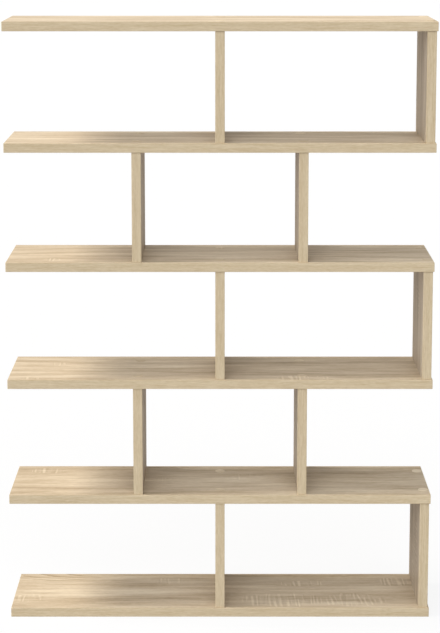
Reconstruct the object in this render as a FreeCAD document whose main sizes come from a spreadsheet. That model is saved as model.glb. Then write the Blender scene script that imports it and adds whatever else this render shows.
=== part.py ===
import FreeCAD, Part
import os
import Sketcher

# Open shelf unit: six long boards with staggered upright panels between them, five tiers high.
# Lengths are in millimetres. +Z is up, the front faces -Y, and +X is to the right seen from the front.
# The origin is the middle of the bottom board's underside, where the unit meets the floor.

document = FreeCAD.newDocument("ShelfUnit")
sheet = document.addObject("Spreadsheet::Sheet", "Sizes")

# Each row is the name of a size, its length and what it measures.
size_rows = [
    ("unit_width", 1000, "a board from its left end to its right end"),
    ("unit_depth", 240, "a board from its front edge to its back edge"),
    ("unit_height", 1422, "underside of the bottom board to the top face of the top board"),
    ("board_thickness", 22, "a board from its underside to its top face"),
    ("panel_thickness", 22, "an upright panel from face to face"),
    ("panel_setback", 3, "a panel's front or back edge behind the board's edge"),
    ("side_panel_inset", 3, "the side panel's outer face in from the board's right end"),
    ("divider_offset", 194, "middle of the unit to the middle of a left or right divider"),
    ("edging_thickness", 1, "the strip glued on a cut edge"),
    ("edging_arris", 0.8, "rounding of the strip's outer corners"),
    ("corner_reserve", 0.1, "rounding of a board's corners beyond the arris"),
    ("screw_edge_distance", 43, "a screw's middle behind the board's front or back edge"),
    ("screw_length", 50, "from the head's top to the tip"),
    ("screw_head_diameter", 10, "across the countersunk head"),
    ("screw_head_rim", 1, "straight side of the head above its cone"),
    ("screw_head_sink", 0.4, "the head's top below the board's face"),
    ("screw_shank_diameter", 7, "smooth neck that passes through the board"),
    ("screw_core_diameter", 5, "threaded length without its thread"),
    ("screw_tip_length", 3, "tapered end of the threaded length"),
    ("screw_tip_diameter", 2.5, "flat end of the taper"),
    ("screw_socket_width", 4, "hexagon socket across its flats"),
    ("screw_socket_depth", 3, "hexagon socket below the head's top"),
    ("screw_bore_clearance", 0.1, "gap all round a screw in its bore"),
    ("pilot_bore_reserve", 3, "the panel's bore past the screw's tip"),
    ("dowel_diameter", 8, "across the dowel"),
    ("dowel_length", 30, "from end to end"),
    ("dowel_board_hold", 10, "length of the dowel held in the board"),
    ("dowel_bevel", 1, "chamfer round each end of the dowel"),
    ("dowel_bore_clearance", 0.1, "gap all round a dowel in its bore"),
    ("dowel_bore_reserve", 1, "each bore past the dowel's end"),
    ("cover_diameter", 24, "disc that hides a screw head"),
    ("cover_thickness", 0.6, "the disc above the board's face"),
    ("cover_bevel", 0.2, "sloping rim of the disc"),
    ("cut_overrun", 1, "how far a cut starts outside the face that it enters"),
]
for row, (alias, length, meaning) in enumerate(size_rows, start=1):
    sheet.set("A%d" % row, meaning)
    sheet.set("B%d" % row, str(length))
    sheet.setAlias("B%d" % row, alias)
document.recompute()

board_names = ["top_board", "first_shelf", "second_shelf", "third_shelf", "fourth_shelf", "bottom_board"]
tier_count = len(board_names) - 1

# Sizes that follow from the ones above, as expressions for the features to bind to.
tier_pitch = "((Sizes.unit_height - Sizes.board_thickness) / %d)" % tier_count
tier_clearance = "(%s - Sizes.board_thickness)" % tier_pitch
panel_depth = "(Sizes.unit_depth - 2 * Sizes.panel_setback)"
core_width = "(Sizes.unit_width - 2 * Sizes.edging_thickness)"
core_depth = "(Sizes.unit_depth - 2 * Sizes.edging_thickness)"
screw_row = "(Sizes.unit_depth / 2 - Sizes.screw_edge_distance)"
head_radius = "(Sizes.screw_head_diameter / 2)"
shank_radius = "(Sizes.screw_shank_diameter / 2)"
core_radius = "(Sizes.screw_core_diameter / 2)"
tip_radius = "(Sizes.screw_tip_diameter / 2)"
cone_end = "(Sizes.screw_head_rim + %s - %s)" % (head_radius, shank_radius)
shank_end = "(Sizes.board_thickness - Sizes.screw_head_sink - Sizes.screw_bore_clearance)"
screw_in_panel = "(Sizes.screw_length + Sizes.screw_head_sink - Sizes.board_thickness)"
pilot_depth = "(%s + Sizes.pilot_bore_reserve)" % screw_in_panel
dowel_bore_radius = "(Sizes.dowel_diameter / 2 + Sizes.dowel_bore_clearance)"
dowel_board_bore = "(Sizes.dowel_board_hold + Sizes.dowel_bore_reserve)"
dowel_panel_bore = "(Sizes.dowel_length - Sizes.dowel_board_hold + Sizes.dowel_bore_reserve)"

# Where the panels stand in a tier, from the middle of the unit to the middle of the panel.
side_panel_middle = "(Sizes.unit_width / 2 - Sizes.side_panel_inset - Sizes.panel_thickness / 2)"
one_end_closed = {"centre_divider": "0", "side_panel": side_panel_middle}
both_ends_open = {"left_divider": "-Sizes.divider_offset", "right_divider": "Sizes.divider_offset"}
tiers = [one_end_closed, both_ends_open, one_end_closed, both_ends_open, one_end_closed]
along_x = FreeCAD.Vector(1, 0, 0)
along_y = FreeCAD.Vector(0, 1, 0)
along_z = FreeCAD.Vector(0, 0, 1)
nearly_parallel_share = 0.999


def amount(expression):
    """The number that an expression of the sheet's sizes comes to."""
    return float(sheet.evalExpression(expression))


def new_body(label, across="0", up="0"):
    """An empty body whose own origin stands at across, up in the unit. It may hold separate solids."""
    body = document.addObject("PartDesign::Body", label)
    body.Label = label
    body.AllowCompound = True
    body.setExpression(".Placement.Base.x", across)
    body.setExpression(".Placement.Base.z", up)
    return body


def origin_feature(body, role):
    """The body's own origin plane or axis with this role."""
    for feature in body.Origin.OriginFeatures:
        if feature.Role == role:
            return feature
    raise ValueError(role)


def new_sketch(body, name, plane, across="0", out="0"):
    """A sketch on an origin plane, moved across it and out along its normal."""
    sketch = body.newObject("Sketcher::SketchObject", name)
    sketch.AttachmentSupport = (origin_feature(body, plane), [""])
    sketch.MapMode = "FlatFace"
    sketch.setExpression(".AttachmentOffset.Base.x", across)
    sketch.setExpression(".AttachmentOffset.Base.z", out)
    return sketch


def bind(sketch, kind, expression, *where):
    """Adds a dimension to the sketch and ties it to an expression."""
    number = sketch.addConstraint(Sketcher.Constraint(kind, *where, amount(expression)))
    sketch.setExpression("Constraints[%d]" % number, expression)


def draw_outline(sketch, corners):
    """A closed outline of straight lines, each corner bound to a pair of expressions, across and up."""
    points = [FreeCAD.Vector(amount(across), amount(up), 0) for across, up in corners]
    for start, end in zip(points, points[1:] + points[:1]):
        sketch.addGeometry(Part.LineSegment(start, end), False)
    for line in range(len(points)):
        following = (line + 1) % len(points)
        sketch.addConstraint(Sketcher.Constraint("Coincident", line, 2, following, 1))
    for line, (across, up) in enumerate(corners):
        bind(sketch, "DistanceX", across, -1, 1, line, 1)
        bind(sketch, "DistanceY", up, -1, 1, line, 1)


def draw_rectangle(sketch, width, height):
    """A rectangle centred on the sketch's origin."""
    left, right = "-%s / 2" % width, "%s / 2" % width
    low, high = "-%s / 2" % height, "%s / 2" % height
    draw_outline(sketch, [(left, low), (right, low), (right, high), (left, high)])


def draw_circle(sketch, across, up, radius):
    """A circle whose middle is bound to a pair of expressions, across and up."""
    middle = FreeCAD.Vector(amount(across), amount(up), 0)
    circle = sketch.addGeometry(Part.Circle(middle, FreeCAD.Vector(0, 0, 1), amount(radius)), False)
    bind(sketch, "DistanceX", across, -1, 1, circle, 3)
    bind(sketch, "DistanceY", up, -1, 1, circle, 3)
    bind(sketch, "Radius", radius, circle)


def pad(body, sketch, name, length):
    """Thickens a sketch by half the length to each side of its plane."""
    feature = body.newObject("PartDesign::Pad", name)
    feature.Profile = sketch
    feature.SideType = "Symmetric"
    feature.setExpression("Length", length)
    document.recompute()
    return feature


def pocket(body, sketch, name, depth, upwards=False):
    """Sinks a sketch's shapes into the solid, downwards unless told otherwise."""
    before = body.Shape.Volume
    feature = body.newObject("PartDesign::Pocket", name)
    feature.Profile = sketch
    feature.Reversed = upwards
    feature.setExpression("Length", depth)
    document.recompute()
    if feature.Shape.Volume >= before:
        raise ValueError(name + " removes nothing")
    return feature


def turn(body, kind, sketch, name):
    """A full turn of a sketch about its own upright axis, added or cut away."""
    feature = body.newObject("PartDesign::" + kind, name)
    feature.Profile = sketch
    feature.ReferenceAxis = (sketch, ["V_Axis"])
    feature.Angle = 360
    document.recompute()
    return feature


def mirrored(body, name, plane):
    """A mirror step for repeat, about an origin plane of the body."""
    step = body.newObject("PartDesign::Mirrored", name)
    step.MirrorPlane = (origin_feature(body, plane), [""])
    return step


def second_panel(body, name, spacing):
    """A pattern step for repeat, to the tier's second panel."""
    step = body.newObject("PartDesign::LinearPattern", name)
    step.Direction = (origin_feature(body, "X_Axis"), [""])
    step.Occurrences = 2
    step.setExpression("Length", spacing)
    return step


def repeat(body, name, originals, steps):
    """Repeats features through the given steps, one after the other."""
    before = body.Shape.Volume
    feature = body.newObject("PartDesign::MultiTransform", name)
    feature.Originals = originals
    feature.Transformations = steps
    body.Tip = feature
    document.recompute()
    if feature.Shape.Volume == before:
        raise ValueError(name + " changes nothing")
    return feature


def outer_edges(shape, outward, along):
    """Names of the edges of the outermost flat face on one side that run along any of the directions."""
    faces = [face for face in shape.Faces if face.normalAt(0, 0).dot(outward) > nearly_parallel_share]
    outermost = max(faces, key=lambda face: face.CenterOfMass.dot(outward))
    chosen = []
    for number, edge in enumerate(shape.Edges, start=1):
        heading = edge.tangentAt(edge.FirstParameter)
        follows = any(abs(heading.dot(direction)) > nearly_parallel_share for direction in along)
        if follows and any(edge.isSame(side) for side in outermost.Edges):
            chosen.append("Edge%d" % number)
    return chosen


def round_edges(body, base, name, chosen, radius="Sizes.edging_arris"):
    """Rounds the chosen edges of a strip, by the arris unless told otherwise."""
    feature = body.newObject("PartDesign::Fillet", name)
    feature.Base = (base, chosen)
    feature.setExpression("Radius", radius)
    document.recompute()
    return feature


def two_facing_strips(body, name, plane):
    """Mirrors the whole strip to the opposite edge as a separate solid."""
    step = mirrored(body, name, plane)
    step.TransformMode = "Whole shape"
    body.Tip = step
    document.recompute()
    return step


def in_from_face(side, depth):
    """Height of a point this deep in a board, from the top face or from the underside."""
    height = "(Sizes.board_thickness / 2 - (%s))" % depth
    return height if side == "top" else "-" + height


def bore_for_panels(body, side, positions):
    """Bores in a board for one tier's two panels, whose screws enter at the side named.

    A screw bore has a straight mouth for the head's rim, a cone for its underside and a narrow way
    through. The dowel bore is blind and opens at the other face, where the panel's end meets it.
    """
    first, second = positions
    mouth = "(%s + Sizes.screw_bore_clearance)" % head_radius
    neck = "(%s + Sizes.screw_bore_clearance)" % shank_radius
    outside = in_from_face(side, "-Sizes.cut_overrun")
    rim_end = in_from_face(side, "Sizes.screw_head_sink + Sizes.screw_head_rim")
    neck_start = in_from_face(side, "Sizes.screw_head_sink + " + cone_end)
    beyond = in_from_face(side, "Sizes.board_thickness + Sizes.cut_overrun")
    bore = new_sketch(body, side + "_screw_profile", "XZ_Plane", across=first, out=screw_row)
    draw_outline(bore, [
        ("0", outside), (mouth, outside), (mouth, rim_end),
        (neck, neck_start), (neck, beyond), ("0", beyond),
    ])
    groove = turn(body, "Groove", bore, side + "_screw_bore")
    repeat(body, side + "_screw_bores", [groove], [
        mirrored(body, side + "_front_and_back", "XZ_Plane"),
        second_panel(body, side + "_both_panels", "%s - (%s)" % (second, first)),
    ])
    other = "underside" if side == "top" else "top"
    mouths = new_sketch(body, other + "_dowel_mouths", "XY_Plane", out=in_from_face(other, "0"))
    for position in positions:
        draw_circle(mouths, position, "0", dowel_bore_radius)
    pocket(body, mouths, other + "_dowel_bores", dowel_board_bore, upwards=(other == "underside"))


def build_board(name, level, tier_above, tier_below):
    """A board's core, this many tiers above the bottom board."""
    middle = "%d * %s + Sizes.board_thickness / 2" % (level, tier_pitch)
    body = new_body(name, up=middle)
    outline = new_sketch(body, "outline", "XY_Plane")
    draw_rectangle(outline, core_width, core_depth)
    pad(body, outline, "core", "Sizes.board_thickness")
    if tier_below:
        bore_for_panels(body, "top", list(tier_below.values()))
    if tier_above:
        bore_for_panels(body, "underside", list(tier_above.values()))
    return body


def build_board_edging(name, level):
    """The four strips round a board: long ones in front and behind, short ones between them at the ends."""
    middle = "%d * %s + Sizes.board_thickness / 2" % (level, tier_pitch)
    long_strips = new_body(name + "_long_strips", up=middle)
    out = "(Sizes.unit_depth - Sizes.edging_thickness) / 2"
    section = new_sketch(long_strips, "section", "XZ_Plane", out=out)
    draw_rectangle(section, "Sizes.unit_width", "Sizes.board_thickness")
    strip = pad(long_strips, section, "strip", "Sizes.edging_thickness")
    ends = outer_edges(strip.Shape, along_x, [along_y]) + outer_edges(strip.Shape, -along_x, [along_y])
    strip = round_edges(long_strips, strip, "corners", ends, "Sizes.edging_arris + Sizes.corner_reserve")
    round_edges(long_strips, strip, "arris", outer_edges(strip.Shape, -along_y, [along_x, along_z]))
    two_facing_strips(long_strips, "front_and_back", "XZ_Plane")
    end_strips = new_body(name + "_end_strips", up=middle)
    out = "(Sizes.unit_width - Sizes.edging_thickness) / 2"
    section = new_sketch(end_strips, "section", "YZ_Plane", out=out)
    draw_rectangle(section, core_depth, "Sizes.board_thickness")
    strip = pad(end_strips, section, "strip", "Sizes.edging_thickness")
    round_edges(end_strips, strip, "arris", outer_edges(strip.Shape, along_x, [along_y]))
    two_facing_strips(end_strips, "left_and_right", "YZ_Plane")
    group = document.addObject("Part::Compound", name + "_edging")
    group.Label = name + "_edging"
    group.Links = [long_strips, end_strips]
    return group


def build_panel(label, across, middle):
    """An upright panel's core, with two screw pilots and a dowel bore in each end."""
    body = new_body(label, across, middle)
    outline = new_sketch(body, "outline", "XY_Plane")
    draw_rectangle(outline, "Sizes.panel_thickness", "(%s - 2 * Sizes.edging_thickness)" % panel_depth)
    pad(body, outline, "core", tier_clearance)
    pilots = new_sketch(body, "pilot_mouths", "XY_Plane", out=tier_clearance + " / 2")
    for row in (screw_row, "-" + screw_row):
        draw_circle(pilots, "0", row, "(%s + Sizes.screw_bore_clearance)" % core_radius)
    pilot_bores = pocket(body, pilots, "pilot_bores", pilot_depth)
    mouth = new_sketch(body, "dowel_mouth", "XY_Plane", out=tier_clearance + " / 2")
    draw_circle(mouth, "0", "0", dowel_bore_radius)
    dowel_bore = pocket(body, mouth, "dowel_bore", dowel_panel_bore)
    repeat(body, "both_ends", [pilot_bores, dowel_bore], [mirrored(body, "top_and_bottom", "XY_Plane")])
    return body


def build_panel_edging(label, across, middle):
    """The two strips that cover a panel's front and back edges, eased where they meet the boards too."""
    body = new_body(label, across, middle)
    out = "(%s - Sizes.edging_thickness) / 2" % panel_depth
    section = new_sketch(body, "section", "XZ_Plane", out=out)
    draw_rectangle(section, "Sizes.panel_thickness", tier_clearance)
    strip = pad(body, section, "strip", "Sizes.edging_thickness")
    round_edges(body, strip, "arris", outer_edges(strip.Shape, -along_y, [along_x, along_z]))
    two_facing_strips(body, "front_and_back", "XZ_Plane")
    return body


def build_screws(label, positions, middle):
    """A tier's eight screws: two down through the board above and two up from below, at each panel."""
    first, second = positions
    body = new_body(label, first, middle)
    head_top = "(%s / 2 + Sizes.board_thickness - Sizes.screw_head_sink)" % tier_clearance
    tip = head_top + " - Sizes.screw_length"
    profile = new_sketch(body, "profile", "XZ_Plane", out=screw_row)
    draw_outline(profile, [
        ("0", head_top),
        (head_radius, head_top),
        (head_radius, head_top + " - Sizes.screw_head_rim"),
        (shank_radius, head_top + " - " + cone_end),
        (shank_radius, head_top + " - " + shank_end),
        (core_radius, head_top + " - " + shank_end),
        (core_radius, tip + " + Sizes.screw_tip_length"),
        (tip_radius, tip),
        ("0", tip),
    ])
    screw = turn(body, "Revolution", profile, "screw")
    mouth = new_sketch(body, "socket_mouth", "XY_Plane", out=head_top)
    corner = "Sizes.screw_socket_width / 2 / cos(30 deg)"
    angles = [60 * side + 30 for side in range(6)]
    draw_outline(mouth, [
        ("%s * cos(%d deg)" % (corner, angle), "%s * sin(%d deg) - %s" % (corner, angle, screw_row))
        for angle in angles
    ])
    socket = pocket(body, mouth, "socket", "Sizes.screw_socket_depth")
    repeat(body, "all_screws", [screw, socket], [
        mirrored(body, "front_and_back", "XZ_Plane"),
        mirrored(body, "top_and_bottom", "XY_Plane"),
        second_panel(body, "both_panels", "%s - (%s)" % (second, first)),
    ])
    return body


def build_dowels(label, positions, middle):
    """A tier's four dowels, one at the middle of each panel end, part in the board and part in the panel."""
    first, second = positions
    body = new_body(label, first, middle)
    top = "(%s / 2 + Sizes.dowel_board_hold)" % tier_clearance
    bottom = "(%s - Sizes.dowel_length)" % top
    radius = "Sizes.dowel_diameter / 2"
    profile = new_sketch(body, "profile", "XZ_Plane")
    draw_outline(profile, [
        ("0", bottom),
        (radius + " - Sizes.dowel_bevel", bottom),
        (radius, bottom + " + Sizes.dowel_bevel"),
        (radius, top + " - Sizes.dowel_bevel"),
        (radius + " - Sizes.dowel_bevel", top),
        ("0", top),
    ])
    dowel = turn(body, "Revolution", profile, "dowel")
    repeat(body, "all_dowels", [dowel], [
        mirrored(body, "top_and_bottom", "XY_Plane"),
        second_panel(body, "both_panels", "%s - (%s)" % (second, first)),
    ])
    return body


def build_covers(label, positions, middle, stands_on_floor):
    """The discs over a tier's screw heads, left out on the face that stands on the floor."""
    first, second = positions
    body = new_body(label, first, middle)
    face = "(%s / 2 + Sizes.board_thickness)" % tier_clearance
    radius = "Sizes.cover_diameter / 2"
    profile = new_sketch(body, "profile", "XZ_Plane", out=screw_row)
    draw_outline(profile, [
        ("0", face),
        (radius, face),
        (radius, face + " + Sizes.cover_thickness - Sizes.cover_bevel"),
        (radius + " - Sizes.cover_bevel", face + " + Sizes.cover_thickness"),
        ("0", face + " + Sizes.cover_thickness"),
    ])
    disc = turn(body, "Revolution", profile, "disc")
    steps = [mirrored(body, "front_and_back", "XZ_Plane")]
    if not stands_on_floor:
        steps.append(mirrored(body, "top_and_bottom", "XY_Plane"))
    steps.append(second_panel(body, "both_panels", "%s - (%s)" % (second, first)))
    repeat(body, "all_discs", [disc], steps)
    return body


sub_parts = []
for number, name in enumerate(board_names):
    level = tier_count - number
    tier_above = tiers[number - 1] if number > 0 else None
    tier_below = tiers[number] if number < tier_count else None
    sub_parts.append(build_board(name, level, tier_above, tier_below))
    sub_parts.append(build_board_edging(name, level))

for number, tier in enumerate(tiers, start=1):
    level = tier_count - number
    middle = "%d * %s + Sizes.board_thickness + %s / 2" % (level, tier_pitch, tier_clearance)
    label = "tier_%d_" % number
    for name, across in tier.items():
        sub_parts.append(build_panel(label + name, across, middle))
        sub_parts.append(build_panel_edging(label + name + "_edging", across, middle))
    positions = list(tier.values())
    sub_parts.append(build_screws(label + "screws", positions, middle))
    sub_parts.append(build_dowels(label + "dowels", positions, middle))
    sub_parts.append(build_covers(label + "screw_covers", positions, middle, level == 0))

document.recompute()
for item in document.Objects:
    if "Invalid" in item.State or "Error" in item.State:
        raise RuntimeError(item.Label + " failed")
for item in sub_parts:
    if item.Shape.isNull() or not item.Shape.isValid():
        raise RuntimeError(item.Label + " has no valid shape")

os.makedirs("parts", exist_ok=True)
for item in sub_parts:
    item.Shape.exportStep("parts/%s.step" % item.Label)
    print(item.Label, len(item.Shape.Solids), "solids", round(item.Shape.Volume), "cubic mm")
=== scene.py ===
import math

import bpy
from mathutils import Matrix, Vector


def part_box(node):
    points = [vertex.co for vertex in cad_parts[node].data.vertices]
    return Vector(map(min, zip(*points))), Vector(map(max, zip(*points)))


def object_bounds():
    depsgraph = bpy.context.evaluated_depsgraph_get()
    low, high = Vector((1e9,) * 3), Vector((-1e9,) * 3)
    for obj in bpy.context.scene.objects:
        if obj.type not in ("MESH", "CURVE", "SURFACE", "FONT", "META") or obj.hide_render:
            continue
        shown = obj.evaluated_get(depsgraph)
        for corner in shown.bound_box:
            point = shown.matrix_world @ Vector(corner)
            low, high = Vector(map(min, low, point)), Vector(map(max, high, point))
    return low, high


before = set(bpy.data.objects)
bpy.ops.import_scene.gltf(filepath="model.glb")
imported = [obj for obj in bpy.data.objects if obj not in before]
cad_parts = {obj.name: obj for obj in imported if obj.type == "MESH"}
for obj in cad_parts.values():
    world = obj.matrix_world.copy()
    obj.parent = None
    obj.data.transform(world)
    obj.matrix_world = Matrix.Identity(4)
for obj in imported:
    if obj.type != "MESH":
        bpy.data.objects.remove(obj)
cad_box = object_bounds()


# The six boards, top board to bottom board.
# Each is 22 mm chipboard, faced above and below with matt melamine that is printed as sonoma oak:
# pale straight grain, some pointed arches, and pale strokes across it where the band saw went.

def linear(hex_code):
    """An sRGB hex colour as the linear colour that the shaders take."""
    shares = [int(hex_code[start:start + 2], 16) / 255 for start in (1, 3, 5)]
    return [c / 12.92 if c <= 0.04045 else ((c + 0.055) / 1.055) ** 2.4 for c in shares] + [1.0]


def new_finish(name):
    """A new material, its node tree and its shader."""
    material = bpy.data.materials.new(name)
    material.use_nodes = True
    tree = material.node_tree
    return material, tree, tree.nodes["Principled BSDF"]


def give(tree, node, sockets):
    """Give a node's sockets, in order or by name, a value or a link each.

    Another node stands for its own first output.
    """
    given = sockets if isinstance(sockets, dict) else dict(enumerate(sockets))
    for socket, value in given.items():
        if isinstance(value, bpy.types.Node):
            value = value.outputs[0]
        if isinstance(value, bpy.types.NodeSocket):
            tree.links.new(value, node.inputs[socket])
        else:
            node.inputs[socket].default_value = value


def add(tree, kind, sockets=(), **settings):
    """Add a node with its settings, and with values and links for its sockets."""
    node = tree.nodes.new("ShaderNode" + kind)
    for name, value in settings.items():
        setattr(node, name, value)
    give(tree, node, sockets)
    return node


def marks(tree, place, length, width, detail=2.0, roughness=0.5):
    """Soft marks, so many mm long with the grain and so many wide across it, from 0 to 1."""
    scaled = add(tree, "VectorMath", (place, (1000 / length, 1000 / width, 1000 / width)),
                 operation="MULTIPLY")
    return add(tree, "TexNoise", {"Vector": scaled, "Scale": 1.0, "Detail": detail,
                                  "Roughness": roughness})


def mixed_tone(tree, middle, *patterns):
    """A tone about a middle, which each pattern of 0 to 1 shifts by half its weight each way."""
    tone = middle
    for pattern, weight in patterns:
        shift = add(tree, "Math", (pattern, weight, -weight / 2), operation="MULTIPLY_ADD")
        tone = add(tree, "Math", (tone, shift), operation="ADD")
    return tone


def set_inks(ramp, inks):
    """Give a colour ramp its inks, each with a tone and a hex colour, the darkest first."""
    ramp.elements.remove(ramp.elements[1])
    for number, (tone, hex_code) in enumerate(inks):
        element = ramp.elements.new(tone) if number else ramp.elements[0]
        element.position = tone
        element.color = linear(hex_code)


# How far over the printed sheet the cuts of two pieces may lie apart, in metres
SHEET_SPREAD = (3.1, 0.9, 0.7)


def cut_from_sheet(tree, order, pitch, start):
    """Where a point lies on the printed sheet: along, across and through the grain, in metres.

    order says which of x, y and z these are. Pieces stand pitch apart, counted from start, and
    each gets a cut of its own.
    """
    here = add(tree, "TexCoord").outputs["Object"]
    from_start = add(tree, "VectorMath", (here, start), operation="SUBTRACT")
    piece = add(tree, "VectorMath", (from_start, pitch), operation="SNAP")
    chance = add(tree, "TexWhiteNoise", {"Vector": piece}, noise_dimensions="3D").outputs["Color"]
    axes = add(tree, "SeparateXYZ", (here,)).outputs
    turned = add(tree, "CombineXYZ", [axes[axis] for axis in order])
    return add(tree, "VectorMath", (chance, SHEET_SPREAD, turned), operation="MULTIPLY_ADD")


def inside(tree, middle, reach):
    """1 about the middle of a patch of the object, and 0 from its reach each way, in metres."""
    here = add(tree, "TexCoord").outputs["Object"]
    from_middle = add(tree, "VectorMath", (here, middle), operation="SUBTRACT")
    scaled = add(tree, "VectorMath", (from_middle, reach), operation="DIVIDE")
    distance = add(tree, "VectorMath", (scaled,), operation="LENGTH").outputs["Value"]
    return add(tree, "MapRange", (distance, 1.0, 0.5), interpolation_type="SMOOTHSTEP")


RAGGEDNESS = 0.010              # how far the streaks shift a ring, in metres
LATE_WOOD_SHARPNESS = 3.0       # the dark comes in the last third of a ring


def rings(tree, radius, width, streaks):
    """Dark late wood, 0 to 1, where rings so wide are cut, their lines made ragged by the streaks."""
    ragged = add(tree, "Math", (streaks, RAGGEDNESS, radius), operation="MULTIPLY_ADD")
    years = add(tree, "Math", (ragged, width), operation="DIVIDE")
    share = add(tree, "Math", (years,), operation="FRACT")
    return add(tree, "Math", (share, LATE_WOOD_SHARPNESS), operation="POWER")


HALF_PLANK = 0.14               # from the middle of a plank to its edge, in metres
RING_WIDTH = 0.0115             # in metres
HEART_DEPTH = (-0.05, 0.17)     # how far below the cut the heart of the log runs, in metres
ARCH_PARTS = (0.45, 0.60)       # from where the sheet has no arches to where they are whole


def plank_arches(tree, place, streaks):
    """Pointed arches of plain-sawn planks side by side, in some parts of the sheet."""
    shallow, deep = HEART_DEPTH
    waves = marks(tree, place, 650, 900, detail=1.0)
    depth = add(tree, "Math", (waves, deep - shallow, shallow), operation="MULTIPLY_ADD")
    across = add(tree, "SeparateXYZ", (place,)).outputs["Y"]
    side = add(tree, "Math", (across, HALF_PLANK), operation="PINGPONG")
    square = add(tree, "Math", (depth, depth), operation="MULTIPLY")
    square = add(tree, "Math", (side, side, square), operation="MULTIPLY_ADD")
    radius = add(tree, "Math", (square,), operation="SQRT")
    late_wood = rings(tree, radius, RING_WIDTH, streaks)
    shown = add(tree, "MapRange", (marks(tree, place, 700, 160), *ARCH_PARTS),
                interpolation_type="SMOOTHSTEP")
    return add(tree, "Math", (late_wood, shown), operation="MULTIPLY")


STROKE_SPACING = 0.0115         # in metres
STROKE_SLANT = 0.04             # metres along the grain for a metre across it
STROKE_SHAKE = 0.040            # how unevenly they follow each other, in metres
STROKE_WAVE = (-0.6, 1.0)       # from the dark between two strokes to the middle of a stroke
STROKE_BREAKS = (0.88, 1.10)    # from where a stroke is missing to where it is whole
DARK_BETWEEN = 0.25             # how dark the print is between two strokes


def saw_strokes(tree, place, share):
    """Fine pale strokes across the grain, a little dark between them, as dense as a share says."""
    axes = add(tree, "SeparateXYZ", (place,)).outputs
    slanted = add(tree, "Math", (axes["Y"], STROKE_SLANT, axes["X"]), operation="MULTIPLY_ADD")
    shake = marks(tree, place, 40, 300)
    shaken = add(tree, "Math", (shake, STROKE_SHAKE, slanted), operation="MULTIPLY_ADD")
    turns = add(tree, "Math", (shaken, 2 * math.pi / STROKE_SPACING), operation="MULTIPLY")
    wave = add(tree, "Math", (turns,), operation="SINE")
    line = add(tree, "MapRange", (wave, *STROKE_WAVE), interpolation_type="SMOOTHSTEP")
    light = add(tree, "Math", (line, DARK_BETWEEN), operation="SUBTRACT")
    breaks = marks(tree, place, 12, 75, detail=3.0)
    kept = add(tree, "Math", (share, 0.5, breaks), operation="MULTIPLY_ADD")
    kept = add(tree, "MapRange", (kept, *STROKE_BREAKS), interpolation_type="SMOOTHSTEP")
    return add(tree, "Math", (light, kept), operation="MULTIPLY")


WANDER = 0.012                  # how far the grain swings to each side, in metres
STROKE_PARTS = (0.50, 0.66)     # from where a sheet has no strokes to where they are densest
ARCH_STRETCH = 6                # how much longer than wide the arches of a patch are
ARCH_PATCH_WEIGHT = 1.9         # how much stronger than elsewhere they are printed
MIDDLE_TONE = 0.52              # tones run from 0, the darkest ink, to 1, the palest
ARCH_SHADE = -0.26              # what the dark of a ring adds to the tone
STROKE_LIGHT = 0.36             # what a saw stroke adds
PALE_PATCH_LIGHT = 0.50         # what the middle of a pale patch adds
INK_TONES = (0.10, 0.42, 0.58, 0.92)    # where the four colours of a print lie
MATT_SPECULAR = 0.07            # studio light leaves no glare on the matt print


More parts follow.
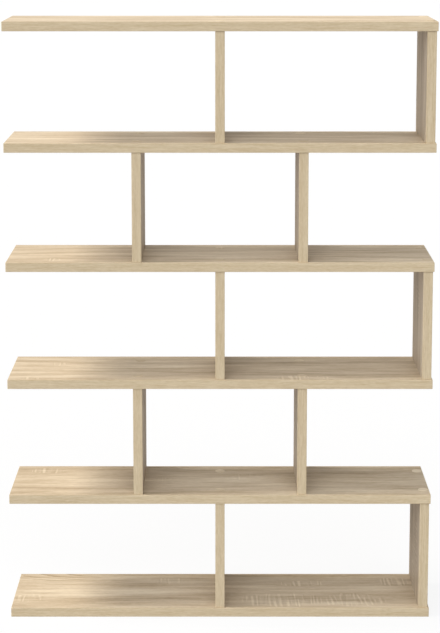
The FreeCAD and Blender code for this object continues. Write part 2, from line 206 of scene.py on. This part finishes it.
def oak_print(name, order, pitch, start, colours, stroke_patches=(), arch_patch=None,
              pale_patch=None):
    """Printed sonoma oak under matt melamine, in four colours from the darkest to the palest.

    With patches, the print's strokes and arches lie there on the upper sides, and by chance below.
    """
    material, tree, shader = new_finish(name)
    place = cut_from_sheet(tree, order, pitch, start)
    swing = add(tree, "Math", (marks(tree, place, 420, 90), 2 * WANDER, -WANDER),
                operation="MULTIPLY_ADD")
    aside = add(tree, "CombineXYZ", {"Y": swing})
    place = add(tree, "VectorMath", (place, aside), operation="ADD")

    bands = marks(tree, place, 900, 60)
    streaks = marks(tree, place, 260, 24, detail=4.0, roughness=0.6)
    lines = marks(tree, place, 80, 3.0)
    flecks = marks(tree, place, 14, 4.0, detail=1.0)
    arches = plank_arches(tree, place, streaks)
    share = add(tree, "MapRange", (marks(tree, place, 210, 62), *STROKE_PARTS),
                interpolation_type="SMOOTHSTEP")
    if stroke_patches:
        facing = add(tree, "SeparateXYZ", (add(tree, "TexCoord").outputs["Normal"],)).outputs["Z"]
        below = add(tree, "Math", (facing, 0.0), operation="LESS_THAN")
        share = add(tree, "Math", (share, below), operation="MULTIPLY")
        arches = add(tree, "Math", (arches, below), operation="MULTIPLY")
    for middle, reach, patch_share in stroke_patches:
        patch = add(tree, "Math", (inside(tree, middle, reach), patch_share), operation="MULTIPLY")
        share = add(tree, "Math", (share, patch), operation="MAXIMUM")
    if arch_patch:
        middle, reach, root, ring_width = arch_patch
        from_root = add(tree, "VectorMath", (add(tree, "TexCoord").outputs["Object"], root),
                        operation="SUBTRACT")
        drawn_in = add(tree, "VectorMath", (from_root, (1 / ARCH_STRETCH, 1.0, 0.0)),
                       operation="MULTIPLY")
        radius = add(tree, "VectorMath", (drawn_in,), operation="LENGTH").outputs["Value"]
        late_wood = rings(tree, radius, ring_width, streaks)
        shown = add(tree, "Math", (late_wood, inside(tree, middle, reach)), operation="MULTIPLY")
        arches = add(tree, "Math", (shown, ARCH_PATCH_WEIGHT, arches), operation="MULTIPLY_ADD")
    strokes = saw_strokes(tree, place, share)

    tone = mixed_tone(tree, MIDDLE_TONE, (bands, 0.70), (streaks, 1.40), (lines, 0.40),
                      (flecks, 0.34))
    tone = add(tree, "Math", (arches, ARCH_SHADE, tone), operation="MULTIPLY_ADD")
    tone = add(tree, "Math", (strokes, STROKE_LIGHT, tone), operation="MULTIPLY_ADD")
    if pale_patch:
        paler = inside(tree, *pale_patch)
        tone = add(tree, "Math", (paler, PALE_PATCH_LIGHT, tone), operation="MULTIPLY_ADD")
    colour = add(tree, "ValToRGB", (tone,))
    set_inks(colour.color_ramp, zip(INK_TONES, colours))

    # The press plate gives the melamine a faint embossing, under 0.4 mm, that follows the print
    relief = add(tree, "Math", (lines, 0.5), operation="MULTIPLY")
    relief = add(tree, "Math", (strokes, 0.5, relief), operation="MULTIPLY_ADD")
    bump = add(tree, "Bump", {"Height": relief, "Strength": 0.35, "Distance": 0.0004})
    dullness = add(tree, "Math", (relief, 0.10, 0.55), operation="MULTIPLY_ADD")
    give(tree, shader, {"Base Color": colour, "Normal": bump, "Roughness": dullness, "IOR": 1.5,
                        "Specular IOR Level": MATT_SPECULAR})
    return material


def finish_node(name, material):
    """Give every slot of a CAD node one finish."""
    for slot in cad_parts[name].material_slots:
        slot.material = material


BOARDS = ("top_board", "first_shelf", "second_shelf", "third_shelf", "fourth_shelf", "bottom_board")
# In metres. One step of 20 m takes in the whole length and depth, so only the height parts them
BOARD_PITCH = (20.0, 20.0, 0.28)
BOARD_START = (-10.0, -10.0, -0.10)
BOARD_COLOURS = ("#A28E72", "#BFAC90", "#CAB89D", "#DFD0B6")
SECOND_TOP, THIRD_TOP, FOURTH_TOP, BOTTOM_TOP = [
    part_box(name)[1][2] for name in ("second_shelf", "third_shelf", "fourth_shelf", "bottom_board")]

# Where the upper sides show saw strokes: middle and reach each way in metres, and how dense
STROKE_PATCHES = (
    ((0.15, -0.065, BOTTOM_TOP), (0.15, 0.070, 0.01), 1.00),
    ((0.32, -0.065, BOTTOM_TOP), (0.13, 0.070, 0.01), 1.00),
    ((0.43, 0.062, BOTTOM_TOP), (0.075, 0.042, 0.01), 1.00),
    ((0.20, 0.050, BOTTOM_TOP), (0.100, 0.030, 0.01), 0.85),
    ((-0.465, -0.055, BOTTOM_TOP), (0.060, 0.045, 0.01), 0.96),
    ((-0.126, 0.068, BOTTOM_TOP), (0.060, 0.035, 0.01), 0.88),
    ((-0.42, 0.080, FOURTH_TOP), (0.075, 0.035, 0.01), 0.95),
    ((0.055, 0.030, FOURTH_TOP), (0.055, 0.040, 0.01), 0.88),
    ((-0.135, 0.000, FOURTH_TOP), (0.040, 0.035, 0.01), 0.88),
    ((0.195, -0.098, THIRD_TOP), (0.100, 0.036, 0.01), 1.00),
    ((0.045, -0.100, THIRD_TOP), (0.060, 0.020, 0.01), 0.80),
    ((-0.446, -0.104, THIRD_TOP), (0.045, 0.018, 0.01), 0.90),
    ((-0.395, 0.040, THIRD_TOP), (0.035, 0.030, 0.01), 0.80),
    ((-0.395, -0.080, SECOND_TOP), (0.035, 0.030, 0.01), 0.80),
)
# Arches at the bottom board's back left corner: middle, reach, the root they spread from, ring width
ARCH_PATCH = ((-0.41, 0.095, BOTTOM_TOP), (0.13, 0.050, 0.01), (-0.17, 0.125, 0.0), 0.0105)

board_oak = oak_print("melamine_oak_on_boards", (0, 1, 2), BOARD_PITCH, BOARD_START, BOARD_COLOURS,
                      STROKE_PATCHES, ARCH_PATCH)
for board in BOARDS:
    finish_node(board, board_oak)


# The edging of the boards.
# 1 mm ABS strips, printed to match and glued on all four edges, their outer corners eased.
# The print follows each strip's length, and is calmer and a little yellower than on the faces.

EDGING_INKS = ((0.10, "#BEA986"), (0.90, "#DCCBAD"))


def edging_print(name, order, pitch, start, core=None):
    """Printed plastic edging: fine straight lines along the strip, and next to no figure.

    Around a core of this half length and half width, the strips at its ends run along y.
    """
    material, tree, shader = new_finish(name)
    place = cut_from_sheet(tree, order, pitch, start)
    if core:
        on_ends = cut_from_sheet(tree, (1, 2, 0), pitch, start)
        axes = add(tree, "SeparateXYZ", (add(tree, "TexCoord").outputs["Object"],)).outputs
        lengthwise = add(tree, "Math", (axes["X"],), operation="ABSOLUTE")
        widthwise = add(tree, "Math", (axes["Y"],), operation="ABSOLUTE")
        past_end = add(tree, "Math", (lengthwise, core[0]), operation="GREATER_THAN")
        between = add(tree, "Math", (widthwise, core[1]), operation="LESS_THAN")
        at_end = add(tree, "Math", (past_end, between), operation="MULTIPLY")
        place = add(tree, "Mix", {0: at_end, 4: place, 5: on_ends}, data_type="VECTOR").outputs[1]
    streaks = marks(tree, place, 260, 7, detail=3.0)
    lines = marks(tree, place, 45, 2.2)
    flecks = marks(tree, place, 12, 3.0, detail=1.0)
    tone = mixed_tone(tree, 0.50, (streaks, 0.55), (lines, 0.80), (flecks, 0.50))
    colour = add(tree, "ValToRGB", (tone,))
    set_inks(colour.color_ramp, EDGING_INKS)
    bump = add(tree, "Bump", {"Height": lines, "Strength": 0.2, "Distance": 0.0002})
    dullness = add(tree, "Math", (lines, 0.10, 0.45), operation="MULTIPLY_ADD")
    give(tree, shader, {"Base Color": colour, "Normal": bump, "Roughness": dullness, "IOR": 1.53,
                        "Specular IOR Level": MATT_SPECULAR})
    return material


# The unit stands about the origin, so the high corner holds the half length and half width
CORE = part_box("top_board")[1]
board_edging = edging_print("printed_edging_on_boards", (0, 2, 1), BOARD_PITCH, BOARD_START, CORE)
for board in BOARDS:
    finish_node(board + "_edging", board_edging)


# The uprights between the boards.
# The same faced chipboard, stood on end, so that its grain runs from board to board. Their colours
# are the boards' print with painted sheen in it: a little greyer, for the pale glare that their sides
# catch when seen nearly edge-on. They stand back 3 mm from the boards' edges.

UPRIGHTS = [f"tier_{tier}_{kind}" for tier in (1, 3, 5) for kind in ("centre_divider", "side_panel")]
UPRIGHTS += [f"tier_{tier}_{kind}" for tier in (2, 4) for kind in ("left_divider", "right_divider")]
# Steps of 170 mm along the boards and 280 mm in height hold one upright each
UPRIGHT_PITCH = (0.17, 20.0, 0.28)
UPRIGHT_START = (-0.085, -10.0, 0.0)
# The oak print with painted sheen: a little greyer than the boards', for the glare of the sides seen
# edge-on
UPRIGHT_COLOURS_WITH_PAINTED_SHEEN = ("#A7967E", "#BCAB94", "#C7B7A1", "#D7CAB4")
upright_oak_and_sheen = oak_print("melamine_oak_and_painted_sheen_on_uprights", (2, 1, 0), UPRIGHT_PITCH, UPRIGHT_START,
                        UPRIGHT_COLOURS_WITH_PAINTED_SHEEN)
upright_edging = edging_print("printed_edging_on_uprights", (2, 0, 1), UPRIGHT_PITCH, UPRIGHT_START)
for upright in UPRIGHTS:
    finish_node(upright, upright_oak_and_sheen)
    finish_node(upright + "_edging", upright_edging)


# The screw covers, thin self-adhesive discs of the same printed foil, over the heads of the screws.
# They are a shade paler than the boards, the two at the right end of the fourth shelf the palest.
# Each is cut from another spot of the sheet, so its grain doesn't meet the board's.

# Steps of 50 mm part the covers on a board
COVER_PITCH = (0.05, 0.05, 0.28)
COVER_START = (-0.025, -0.10, -0.10)
COVER_COLOURS = ("#B09C80", "#C8B597", "#D2C1A4", "#E6D5B9")
PALE_COVERS = ((0.486, 0.077, FOURTH_TOP), (0.20, 0.20, 0.10))
cover_foil = oak_print("printed_cover_foil", (0, 1, 2), COVER_PITCH, COVER_START, COVER_COLOURS,
                       pale_patch=PALE_COVERS)
TIERS = (1, 2, 3, 4, 5)
for tier in TIERS:
    finish_node(f"tier_{tier}_screw_covers", cover_foil)


# The screws that hold the boards to the ends of the uprights.
# Steel with a bright zinc plating: a cool pale grey metal, a little uneven in its gloss where the
# bath and the tumbling marked it.

UNEVEN_GLOSS = 0.2              # how much rougher the dullest spot is than the glossiest


def marked_finish(name, length, width, dark, pale, roughness, metallic):
    """A finish of soft marks, so many mm long and wide, from a dark to a pale colour."""
    material, tree, shader = new_finish(name)
    spots = marks(tree, add(tree, "TexCoord").outputs["Object"], length, width)
    colour = add(tree, "ValToRGB", (spots,))
    set_inks(colour.color_ramp, ((0.0, dark), (1.0, pale)))
    dullness = add(tree, "Math", (spots, UNEVEN_GLOSS, roughness - UNEVEN_GLOSS / 2),
                   operation="MULTIPLY_ADD")
    give(tree, shader, {"Base Color": colour, "Roughness": dullness, "Metallic": metallic})
    return material


zinc_plate = marked_finish("zinc_plated_steel", 2.0, 0.6, "#A9AEB4", "#C9CCCE", 0.35, 1.0)
for tier in TIERS:
    finish_node(f"tier_{tier}_screws", zinc_plate)


# The dowels beside the screws.
# 8 mm turned beech, sanded and left raw: a warm pink brown with fine flecks.

raw_beech = marked_finish("turned_beech", 1.2, 1.2, "#C79F6E", "#DDBD8F", 0.6, 0.0)
for tier in TIERS:
    finish_node(f"tier_{tier}_dowels", raw_beech)


# The floor.
# A wide matt floor. The lens sees it as all but plain white, with the unit's soft shadow on it. The
# light that it throws back onto the unit is that of a mid grey floor.

def seen_directly(tree):
    """1 for what the camera, a mirror or a pane shows, and 0 for the light that a surface gets."""
    rays = add(tree, "LightPath").outputs
    mirrored = add(tree, "Math", (rays["Is Glossy Ray"], rays["Is Transmission Ray"]),
                   operation="MAXIMUM")
    return add(tree, "Math", (rays["Is Camera Ray"], mirrored), operation="MAXIMUM")


FLOOR_REACH = 30.0              # metres each way
FLOOR_BOUNCED = "#ACACAC"       # what throws light back onto the unit
FLOOR_SEEN = "#E2E2E2"          # what the lens sees
FADE_TO_WHITE = 0.88            # how far that is faded to plain white
floor_mesh = bpy.data.meshes.new("studio_floor")
floor_mesh.from_pydata([(-FLOOR_REACH, -FLOOR_REACH, 0), (FLOOR_REACH, -FLOOR_REACH, 0),
                        (FLOOR_REACH, FLOOR_REACH, 0), (-FLOOR_REACH, FLOOR_REACH, 0)],
                       [], [(0, 1, 2, 3)])
floor = bpy.data.objects.new("studio_floor", floor_mesh)
bpy.context.collection.objects.link(floor)
floor_paint, floor_tree, floor_shader = new_finish("matt_white_floor")
seen = seen_directly(floor_tree)
floor_tone = add(floor_tree, "Mix", {0: seen, 6: linear(FLOOR_BOUNCED), 7: linear(FLOOR_SEEN)},
                 data_type="RGBA").outputs[2]
give(floor_tree, floor_shader, {"Base Color": floor_tone, "Roughness": 1.0})
white = add(floor_tree, "Emission", {"Color": (1, 1, 1, 1), "Strength": 1.0})
fading = add(floor_tree, "Math", (seen, FADE_TO_WHITE), operation="MULTIPLY")
faded = add(floor_tree, "MixShader", (fading, floor_shader, white))
give(floor_tree, floor_tree.nodes["Material Output"], {"Surface": faded})
floor_mesh.materials.append(floor_paint)


# The room.
# Pale walls that give the unit a little even light from all round, and look plain white themselves.

ROOM_LEVEL = 0.23               # 1 would light a white surface to 1
COOL_WHITE = "#F7FAFF"
world = bpy.data.worlds.new("studio")
bpy.context.scene.world = world
world.use_nodes = True
world_tree = world.node_tree
world_tree.nodes.clear()
room = add(world_tree, "Background", {"Color": linear(COOL_WHITE), "Strength": ROOM_LEVEL})
white = add(world_tree, "Background", {"Color": (1, 1, 1, 1), "Strength": 1.0})
faded = add(world_tree, "MixShader", (seen_directly(world_tree), room, white))
add(world_tree, "OutputWorld", {"Surface": faded})


# The studio lamps.
# Far softboxes: the main one stands high on the left and is a little warm. The rest are cool, and
# fill in from the front and behind.

def softbox(name, azimuth, elevation, spread, level, colour):
    """A far soft lamp. Azimuth 0 is in front, 270 on the left; level 1 lights a facing white to 1."""
    lamp_data = bpy.data.lights.new(name, "SUN")
    lamp_data.energy = math.pi * level
    lamp_data.color = linear(colour)[:3]
    lamp_data.angle = math.radians(spread)
    lamp = bpy.data.objects.new(name, lamp_data)
    bpy.context.collection.objects.link(lamp)
    turn = math.radians(azimuth)
    rise = math.radians(elevation)
    towards = Vector((math.sin(turn) * math.cos(rise), -math.cos(turn) * math.cos(rise),
                      math.sin(rise)))
    lamp.rotation_euler = towards.to_track_quat("Z", "Y").to_euler()


softbox("key", 270, 52, 20, 0.80, "#FFF8EE")
softbox("front", 0, 42, 50, 0.46, COOL_WHITE)
softbox("left_front", 315, 25, 60, 0.38, COOL_WHITE)
softbox("behind", 180, 50, 60, 0.08, COOL_WHITE)


# The camera.
# It stands in front of the unit, a little above the top board, and is turned down to the lower
# shelves. The lens is shifted down as well, which keeps the uprights nearly parallel.

STAND_OFF = 4.455               # from the boards' front edges, in metres
HEIGHT = 1.687                  # above the floor
LOOK_DOWN = 8.7                 # degrees below level
LENS = 110.6                    # mm
SHIFT = -0.181                  # of the picture's height
camera_data = bpy.data.cameras.new("camera")
camera = bpy.data.objects.new("camera", camera_data)
bpy.context.collection.objects.link(camera)
camera.location = (0, cad_box[0][1] - STAND_OFF, HEIGHT)
camera.rotation_euler = (math.radians(90 - LOOK_DOWN), 0, 0)
camera_data.lens = LENS
camera_data.shift_y = SHIFT
bpy.context.scene.camera = camera
bpy.context.scene.view_settings.view_transform = "Standard"
